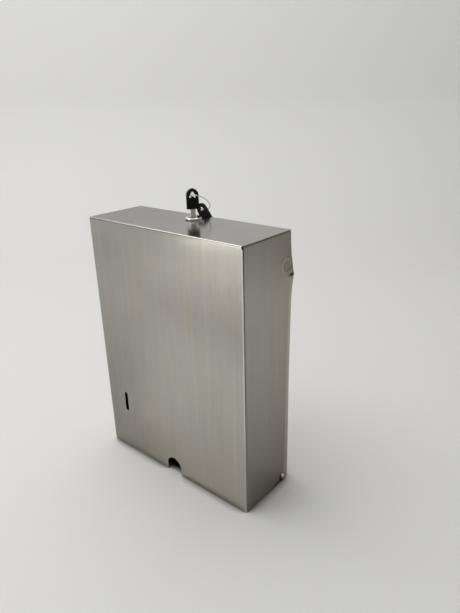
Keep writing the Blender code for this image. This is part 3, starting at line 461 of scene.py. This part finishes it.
def make_cover(material):
    """The folded sheet: front and sides in one strip, the top with its bend, and a flange over each side."""
    bm = bmesh.new()
    layer = bm.loops.layers.uv.new("sheet")
    inner = SIDE_X - BEND
    side_front = FRONT_Y + BEND
    outline = [(-SIDE_X, REAR_Y), (-SIDE_X, FRONT_Y), (SIDE_X, FRONT_Y), (SIDE_X, REAR_Y)]
    path = rounded(outline, BEND, BEND_STEPS)[:-1]
    run = [0.0]
    for a, b in zip(path, path[1:]):
        run.append(run[-1] + (b - a).length)
    middle = run[-1] - BEND * math.pi / 2 - inner
    columns = FLAT_COLUMNS + DENT_COLUMNS + CREASE_COLUMNS
    stations = [(i, None) for i in range(len(path))] + [(None, i) for i in range(1, columns + 1)]
    low = DENT_Z - TAIL_DOWN
    count = round((STRIP_TOP - low) / ROW_HEIGHT)
    rows = [low * i / PLAIN_ROWS for i in range(PLAIN_ROWS)]
    rows += [low + (STRIP_TOP - low) * i / count for i in range(count + 1)]
    rows = [z for z in rows if abs(z - DENT_Z) > TIP_CLEAR]
    rows = sorted(rows + [DENT_Z + TIP_ROW_HEIGHT * i for i in range(-TIP_ROWS, TIP_ROWS + 1)])

    def side_y(column, z):
        dented = REAR_Y - DENTED
        crease = REAR_Y - crease_width(z)
        if column <= FLAT_COLUMNS:
            return side_front + (dented - side_front) * column / FLAT_COLUMNS
        if column <= FLAT_COLUMNS + DENT_COLUMNS:
            return dented + (crease - dented) * (column - FLAT_COLUMNS) / DENT_COLUMNS
        return crease + (REAR_Y - crease) * (column - FLAT_COLUMNS - DENT_COLUMNS) / CREASE_COLUMNS

    def place(station, z):
        index, column = station
        if column is None:
            return Vector((path[index].x, path[index].y, z))
        y = side_y(column, z)
        return Vector((SIDE_X + dent_depth(y, z), y, z))

    def flat(station, z):
        index, column = station
        if column is None:
            return (run[index] - middle, z)
        return (run[-1] - middle + side_y(column, z) - side_front, z)

    sheet_panel(bm, layer, stations, rows, place, flat)

    top = rounded([(FRONT_Y, STRIP_TOP), (FRONT_Y, HEIGHT), (REAR_Y, HEIGHT)], BEND, BEND_STEPS)
    top.insert(-1, Vector((side_front + RELIEF, HEIGHT)))
    lengths = [STRIP_TOP]
    for a, b in zip(top, top[1:]):
        lengths.append(lengths[-1] + (b - a).length)
    sheet_panel(bm, layer, [-inner, inner], list(range(len(top))),
                lambda x, i: Vector((x, top[i].x, top[i].y)), lambda x, i: (x, lengths[i]))
    for side in (-1, 1):
        profile = [(SIDE_X, STRIP_TOP), (SIDE_X, SIDE_TOP), (SIDE_X - FLANGE, SIDE_TOP)]
        flange = rounded(profile, BEND, BEND_STEPS)[1:]
        ends = [side_front, REAR_Y]
        if side > 0:
            ends = [side_front] + [side_y(s[1], STRIP_TOP) for s in stations if s[1]]
        sheet_panel(bm, layer, ends, list(range(len(flange))),
                    lambda y, i: Vector((side * flange[i].x, y, flange[i].y)),
                    lambda y, i: (side * (SIDE_X + y - FRONT_Y), STRIP_TOP + i * BEND / BEND_STEPS))
        sheet_panel(bm, layer, [inner, SIDE_X], [side_front + RELIEF, REAR_Y],
                    lambda x, y: Vector((side * x, y, HEIGHT)),
                    lambda x, y: (side * x, lengths[-2] + y - side_front))
    bmesh.ops.remove_doubles(bm, verts=bm.verts, dist=SHEET_MERGE)
    bmesh.ops.recalc_face_normals(bm, faces=bm.faces)
    probe = max(bm.faces, key=lambda face: abs(face.normal.y) * face.calc_area())
    if probe.normal.y > 0:
        bmesh.ops.reverse_faces(bm, faces=bm.faces)
    cover = new_object("cover", bm, material, smooth=False)
    solid = cover.modifiers.new("sheet", "SOLIDIFY")
    solid.thickness = SHEET
    solid.offset = -1
    solid.use_even_offset = True
    cutters = cover_cutters()
    for cutter in cutters:
        cut(cover, cutter)
    apply_modifiers(cover)
    remove(cutters)
    add_bevel(cover, COVER_BEVEL, 2, 40.0)
    return cover


COVER_BEVEL = 0.00016
SLOT_X, SLOT_LOW, SLOT_HIGH, SLOT_RADIUS = -0.0922, 0.0690, 0.0930, 0.0033
NOTCH_MIDDLE, NOTCH_RADIUS, NOTCH_LEFT, NOTCH_RIGHT = (0.0010, 0.0105), 0.0130, -0.0120, 0.0140
LOCK_HOLE_RADIUS, LOCK_HOLE_FLAT = 0.0096, 0.0085
CUT_SETBACK, CUT_RISE, CUT_TURN = 0.0246, 0.0095, -50
LUG_RADIUS, NICK, PIVOT_HOLE_RADIUS = 0.0037, 0.0012, 0.0025
# Turns a plate drawn flat so that its x runs to the rear and its face to the side
FACING_SIDE = Matrix.Rotation(math.pi / 2, 4, "Z") @ Matrix.Rotation(math.pi / 2, 4, "X")


def cover_cutters():
    """Sight slot, thumb notch, lock hole, pivot holes and rear corners.

    Slot and nick are a little larger than in the part's source, as their edges look in the photo.
    """
    reach = 0.004
    made = []
    upright = Matrix.Translation((0, FRONT_Y, 0)) @ Matrix.Rotation(math.pi / 2, 4, "X")
    slot = arc((SLOT_X, SLOT_HIGH), SLOT_RADIUS, 0, 180, 20)
    slot += arc((SLOT_X, SLOT_LOW), SLOT_RADIUS, 180, 360, 20)
    made.append(plate("slot_cut", [slot], reach, upright))
    notch = arc(NOTCH_MIDDLE, NOTCH_RADIUS, 0, 180, 40) + [(NOTCH_LEFT, -reach), (NOTCH_RIGHT, -reach)]
    made.append(plate("notch_cut", [notch], reach, upright))
    lean = math.degrees(math.asin(LOCK_HOLE_FLAT / LOCK_HOLE_RADIUS))
    hole = arc((0, 0), LOCK_HOLE_RADIUS, -lean, lean, 20)
    hole += arc((0, 0), LOCK_HOLE_RADIUS, 180 - lean, 180 + lean, 20)
    over = Matrix.Translation((LOCK_X, LOCK_Y, HEIGHT)) @ Matrix.Rotation(LOCK_TURN, 4, "Z")
    made.append(plate("lock_cut", [hole], reach, over))
    start = REAR_Y - CUT_SETBACK
    to_pivot = math.hypot(PIVOT[0] - start, PIVOT[1])
    slope = math.atan2(PIVOT[1], PIVOT[0] - start) - math.asin(LUG_RADIUS / to_pivot)
    corner = [(start - NICK, -reach), (start - NICK, NICK), (start + NICK, NICK * 2)]
    corner += arc(PIVOT, LUG_RADIUS, math.degrees(slope) - 90, CUT_TURN, 20)
    corner += [(REAR_Y, CUT_RISE), (REAR_Y + reach, CUT_RISE), (REAR_Y + reach, -reach)]
    for side in (-1, 1):
        over = Matrix.Translation((side * (SIDE_X - SHEET / 2), 0, 0)) @ FACING_SIDE
        made.append(plate("corner_cut", [corner], reach, over))
        made.append(plate("pivot_cut", [arc(PIVOT, PIVOT_HOLE_RADIUS, 0, 354, 59)], reach, over))
    return made


# keys

HEAD_WIDTH, HEAD_HEIGHT, HEAD_THICK, HEAD_POINT = 0.0156, 0.0258, 0.0032, 0.0012
HEAD_BEVEL = 0.0006
LOOP_HALF, LOOP_LEG = 0.0042, 0.0021
LOOP_FOOT, LOOP_SIDE, LOOP_APEX = HEAD_HEIGHT - 0.0118, HEAD_HEIGHT - 0.0088, HEAD_HEIGHT - 0.0032
KNEE_WIDE, KNEE_HIGH = 0.62, 0.38
POCKET_HALF, POCKET_BELOW, POCKET_HIGH, POCKET_THICK = 0.0034, -0.004, 0.0083, 0.0024
KEY_FOOT_Z, SPARE_X, SPARE_GAP, SPARE_Z, SPARE_LEAN = 0.3630, -0.0110, 0.0004, 0.3581, -39


def head_outlines():
    """The head's outline with its pointed top, and the hole the ring goes through."""
    half = HEAD_WIDTH / 2
    radius = half + HEAD_POINT
    rise = math.sqrt(radius ** 2 - HEAD_POINT ** 2)
    right = arc((-HEAD_POINT, HEAD_HEIGHT - rise), radius, 0, math.degrees(math.acos(HEAD_POINT / radius)), 24)
    outer = [(-half, 0.0), (half, 0.0)] + right + [(-x, y) for x, y in reversed(right)][1:]
    knee = (LOOP_HALF * KNEE_WIDE, LOOP_SIDE + (LOOP_APEX - LOOP_SIDE) * KNEE_HIGH)
    loop = [(LOOP_LEG, LOOP_FOOT), (LOOP_HALF, LOOP_FOOT), (LOOP_HALF, LOOP_SIDE), knee, (0.0, LOOP_APEX)]
    loop += [(-x, y) for x, y in loop[3::-1]]
    loop += arc((0, LOOP_FOOT), LOOP_LEG, 180, 0, 16)[1:-1]
    return outer, loop


def make_head(name, place, material):
    outer, loop = head_outlines()
    head = plate(name, [outer, loop], HEAD_THICK, place, material)
    hollow = [(-POCKET_HALF, POCKET_BELOW), (POCKET_HALF, POCKET_BELOW),
              (POCKET_HALF, POCKET_HIGH), (-POCKET_HALF, POCKET_HIGH)]
    pocket = plate(name + "_pocket", [hollow], POCKET_THICK, place)
    cut(head, pocket)
    apply_modifiers(head)
    remove([pocket])
    add_bevel(head, HEAD_BEVEL, 3, 50.0)
    return head


# build

steel = brushed_steel()
inner_steel = mill_steel("inner_sheet", (0.50, 0.50, 0.49), 0.38)
# the tray's foot painted near black as painted shade
tray_steel = mill_steel("tray_sheet", (0.50, 0.50, 0.49), 0.38, shade_below=0.010)
pin_metal = bright_metal("hinge_pin_plate", (0.80, 0.79, 0.77), 0.14, 500.0, 0.05)
zinc = bright_metal("zinc_plate", (0.62, 0.62, 0.63), 0.30, 420.0, 0.08)
chrome = bright_metal("lock_chrome_plate", (0.88, 0.88, 0.89), 0.05, 300.0, 0.05)
plug_metal = bright_metal("lock_plug_plate", (0.30, 0.30, 0.31), 0.08, 300.0, 0.05)
nickel = bright_metal("warm_nickel", (0.88, 0.76, 0.61), 0.28, 380.0, 0.08)
nickel.node_tree.nodes["Principled BSDF"].inputs["Metallic"].default_value = 0.5
ring_metal = bright_metal("ring_steel", (0.50, 0.50, 0.51), 0.20, 500.0, 0.06)
plastic = black_plastic()

looks = {
    "back_plate": inner_steel, "bottom_tray": tray_steel, "side_guide_left": inner_steel,
    "side_guide_right": inner_steel, "hinge_spacer_left": inner_steel, "hinge_spacer_right": inner_steel,
    "lock_keeper": zinc, "hinge_pin_left": pin_metal, "hinge_pin_right": pin_metal, "lock_washer": zinc,
    "lock_nut": zinc, "lock_cam": zinc, "cam_washer": zinc, "cam_screw": zinc,
    "lock_housing": chrome, "lock_plug": plug_metal, "key_blade": nickel, "spare_key_blade": nickel,
    "key_ring": ring_metal, "front_cover": steel, "key_head": plastic, "spare_key_head": plastic,
}
for name, material in looks.items():
    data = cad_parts[name].data
    data.materials.clear()
    data.materials.append(material)

cover = make_cover(steel)
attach(cover, "cover")
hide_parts("front_cover")

lock_place = Matrix.Translation((LOCK_X, LOCK_Y, 0)) @ Matrix.Rotation(LOCK_TURN, 4, "Z")
key_place = lock_place @ Matrix.Translation((0, 0, KEY_FOOT_Z)) @ FACING_SIDE
head = make_head("key_grip", key_place, plastic)
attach(head, "plug")
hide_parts("key_head")

spare_place = Matrix.Translation((SPARE_X, REAR_Y + SPARE_GAP + HEAD_THICK / 2, SPARE_Z))
spare_place = spare_place @ Matrix.Rotation(math.radians(SPARE_LEAN), 4, "Y")
spare_place = spare_place @ Matrix.Rotation(math.pi / 2, 4, "X")
spare_place = spare_place @ Matrix.Translation((0, HEAD_WIDTH / 2 - HEAD_HEIGHT, 0))
spare = make_head("spare_grip", spare_place, plastic)
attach(spare, "cover")
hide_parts("spare_key_head")


# floor, light and camera

FLOOR_NEAR, FLOOR_HALF, FLOOR_TURN = -4.0, 5.0, 40.0
SWEEP_START, SWEEP_RADIUS, SWEEP_TOP = 0.75, 0.5, 4.0


def make_stage():
    """A plain pale floor that sweeps up behind the object, painted lighter higher up as painted light, with
    painted contact shadow where it is hemmed in and painted shadow almost black under the object's footprint.
    """
    bm = bmesh.new()
    path = [(FLOOR_NEAR, 0.0), (SWEEP_START, 0.0)]
    for degrees in range(6, 91, 6):
        angle = math.radians(degrees)
        path.append((SWEEP_START + SWEEP_RADIUS * math.sin(angle),
                     SWEEP_RADIUS - SWEEP_RADIUS * math.cos(angle)))
    path.append((SWEEP_START + SWEEP_RADIUS, SWEEP_TOP))
    turn = Matrix.Rotation(math.radians(FLOOR_TURN), 4, "Z")
    verts = [[bm.verts.new(turn @ Vector((x, y, z))) for y, z in path] for x in (-FLOOR_HALF, FLOOR_HALF)]
    for i in range(len(path) - 1):
        bm.faces.new((verts[0][i], verts[1][i], verts[1][i + 1], verts[0][i + 1]))
    bmesh.ops.recalc_face_normals(bm, faces=bm.faces)
    material, tree, shader = new_material("pale_floor", (0.72, 0.715, 0.70), 0.85)
    shader.inputs["Specular IOR Level"].default_value = 0.2
    shade = tree.nodes.new("ShaderNodeAmbientOcclusion")
    shade.samples = 8
    shade.inputs["Distance"].default_value = 0.025
    x, y, z = split(tree, object_place(tree))
    # painted light: the floor lighter as it sweeps up
    tone = mix_colour(tree, ramp(tree, z, 0.0, 0.45), (0.70, 0.695, 0.68), (0.90, 0.895, 0.885))
    # painted contact shadow: darker where ambient occlusion finds the floor hemmed in
    tone = mix_colour(tree, ramp(tree, shade.outputs["AO"], 0.46, 0.66), (0.03, 0.028, 0.025), tone)
    # painted shadow, almost black, under the object's footprint
    footprint_shadow = maths(tree, "MULTIPLY", ramp(tree, y, -0.0470, -0.0370), ramp(tree, y, 0.040, 0.030))
    footprint_shadow = maths(tree, "MULTIPLY", footprint_shadow, band(tree, x, 0.0, 0.1293, 0.0006))
    tone = mix_colour(tree, footprint_shadow, tone, (0.012, 0.011, 0.010))
    tree.links.new(tone, shader.inputs["Base Color"])
    floor = new_object("floor", bm, material)

    # the dispenser really hangs on a wall, so the floor sinks out of the way of the cover as it tips
    foot = bpy.data.objects.new("cover_foot", None)
    foot.location = (0, FRONT_Y, 0)
    bpy.context.scene.collection.objects.link(foot)
    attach(foot, "cover")
    sink = floor.constraints.new("COPY_LOCATION")
    sink.target = foot
    sink.use_x = sink.use_y = False
    return floor


def add_card(floor, name, low, high, height, tones, fades):
    """A grey card lying on the floor that only reflections show, as a photographer tones bright metal.

    low and high: its opposite corners. tones: pairs of distance from the object's middle and grey there.
    fades: (x, y, from, to) for each soft border, the card fading in as x and y times the place goes from
    the one value to the other.
    """
    bm = bmesh.new()
    corners = [low, (high[0], low[1]), high, (low[0], high[1])]
    bm.faces.new([bm.verts.new((x, y, height)) for x, y in corners])
    material, tree, shader = new_material(name + "_grey", (0.5, 0.5, 0.5), 0.9)
    shader.inputs["Specular IOR Level"].default_value = 0.0
    place = object_place(tree)
    length = tree.nodes.new("ShaderNodeVectorMath")
    length.operation = "LENGTH"
    tree.links.new(place, length.inputs[0])
    away = length.outputs["Value"]
    (near, start), (far, end) = tones[:2]
    grey = ramp(tree, away, near, far, start, end)
    for (near, start), (far, end) in zip(tones[1:], tones[2:]):
        grey = maths(tree, "ADD", grey, ramp(tree, away, near, far, 0.0, end - start))
    tree.links.new(mix_colour(tree, grey, (0.0, 0.0, 0.0), (1.0, 0.985, 0.96)), shader.inputs["Base Color"])
    opaque = None
    for x, y, start, end in fades:
        dot = tree.nodes.new("ShaderNodeVectorMath")
        dot.operation = "DOT_PRODUCT"
        tree.links.new(place, dot.inputs[0])
        dot.inputs[1].default_value = (x, y, 0)
        step = ramp(tree, dot.outputs["Value"], start, end)
        opaque = step if opaque is None else maths(tree, "MULTIPLY", opaque, step)
    tree.links.new(opaque, shader.inputs["Alpha"])
    card = new_object(name, bm, material, smooth=False)
    card.visible_camera = False
    card.visible_diffuse = False
    card.visible_shadow = False
    card.parent = floor


def add_area(name, place, target, size, power, colour):
    data = bpy.data.lights.new(name, "AREA")
    data.shape = "RECTANGLE"
    data.size, data.size_y = size
    data.energy = power
    data.color = colour
    lamp = bpy.data.objects.new(name, data)
    lamp.location = place
    lamp.rotation_euler = (Vector(target) - Vector(place)).to_track_quat("-Z", "Y").to_euler()
    lamp.visible_camera = False
    bpy.context.scene.collection.objects.link(lamp)


floor = make_stage()
add_card(floor, "right_card", (0.131, -0.25), (1.7, 2.2), 0.0006,
         [(0.12, 0.40), (0.45, 0.53), (0.80, 0.62), (1.30, 0.50)],
         [(-1, 0, -1.7, -1.4), (0, 1, -0.25, -0.05), (0, -1, -2.2, -1.9)])
add_card(floor, "left_card", (-1.4, -0.9), (0.1, -0.0495), 0.0006,
         [(0.15, 0.39), (0.65, 0.52)],
         [(-0.63, 0.776, -0.06, 0.06), (0, 1, -0.9, -0.6)])
add_card(floor, "far_card", (-1.4, -0.8), (0.2, -0.33), 0.0009,
         [(0.3, 0.57), (1.0, 0.57)],
         [(0, -1, 0.33, 0.47), (0, 1, -0.8, -0.55), (-1, 0, -0.2, 0.0)])
add_area("overhead", (-0.8, -0.1, 2.3), (0, 0.1, 0.1), (2.8, 2.8), 60, (1.0, 0.995, 0.98))
add_area("front_left", (-0.32, -1.05, 0.28), (0.05, 0, 0.2), (0.9, 0.5), 1.9, (1.0, 0.99, 0.97))

world = bpy.data.worlds.new("studio")
bpy.context.scene.world = world
world.use_nodes = True
backdrop = world.node_tree.nodes["Background"]
backdrop.inputs["Color"].default_value = (0.80, 0.81, 0.82, 1)
backdrop.inputs["Strength"].default_value = 0.36

# The camera solved from the photo's corners, its focal length in the photo's pixels
CAMERA_PLACE = (0.4567, -0.4556, 0.4922)
AZIMUTH, ELEVATION, ROLL = math.radians(40.32), math.radians(21.75), math.radians(-1.48)
FOCAL_PIXELS, PHOTO_PIXELS_HIGH, SENSOR_MM = 523.8, 613.0, 36.0
back = Vector((math.sin(AZIMUTH) * math.cos(ELEVATION),
               -math.cos(AZIMUTH) * math.cos(ELEVATION),
               math.sin(ELEVATION)))
right = Vector((math.cos(AZIMUTH), math.sin(AZIMUTH), 0))
up = back.cross(right)
rolled_right = right * math.cos(ROLL) + up * math.sin(ROLL)
rolled_up = up * math.cos(ROLL) - right * math.sin(ROLL)
camera_data = bpy.data.cameras.new("camera")
camera_data.sensor_width = SENSOR_MM
camera_data.lens = FOCAL_PIXELS * SENSOR_MM / PHOTO_PIXELS_HIGH
camera = bpy.data.objects.new("camera", camera_data)
facing = Matrix((rolled_right, rolled_up, back)).transposed().to_4x4()
camera.matrix_world = Matrix.Translation(CAMERA_PLACE) @ facing
bpy.context.scene.collection.objects.link(camera)
bpy.context.scene.camera = camera
bpy.context.scene.view_settings.view_transform = "Standard"

bpy.context.view_layer.update()
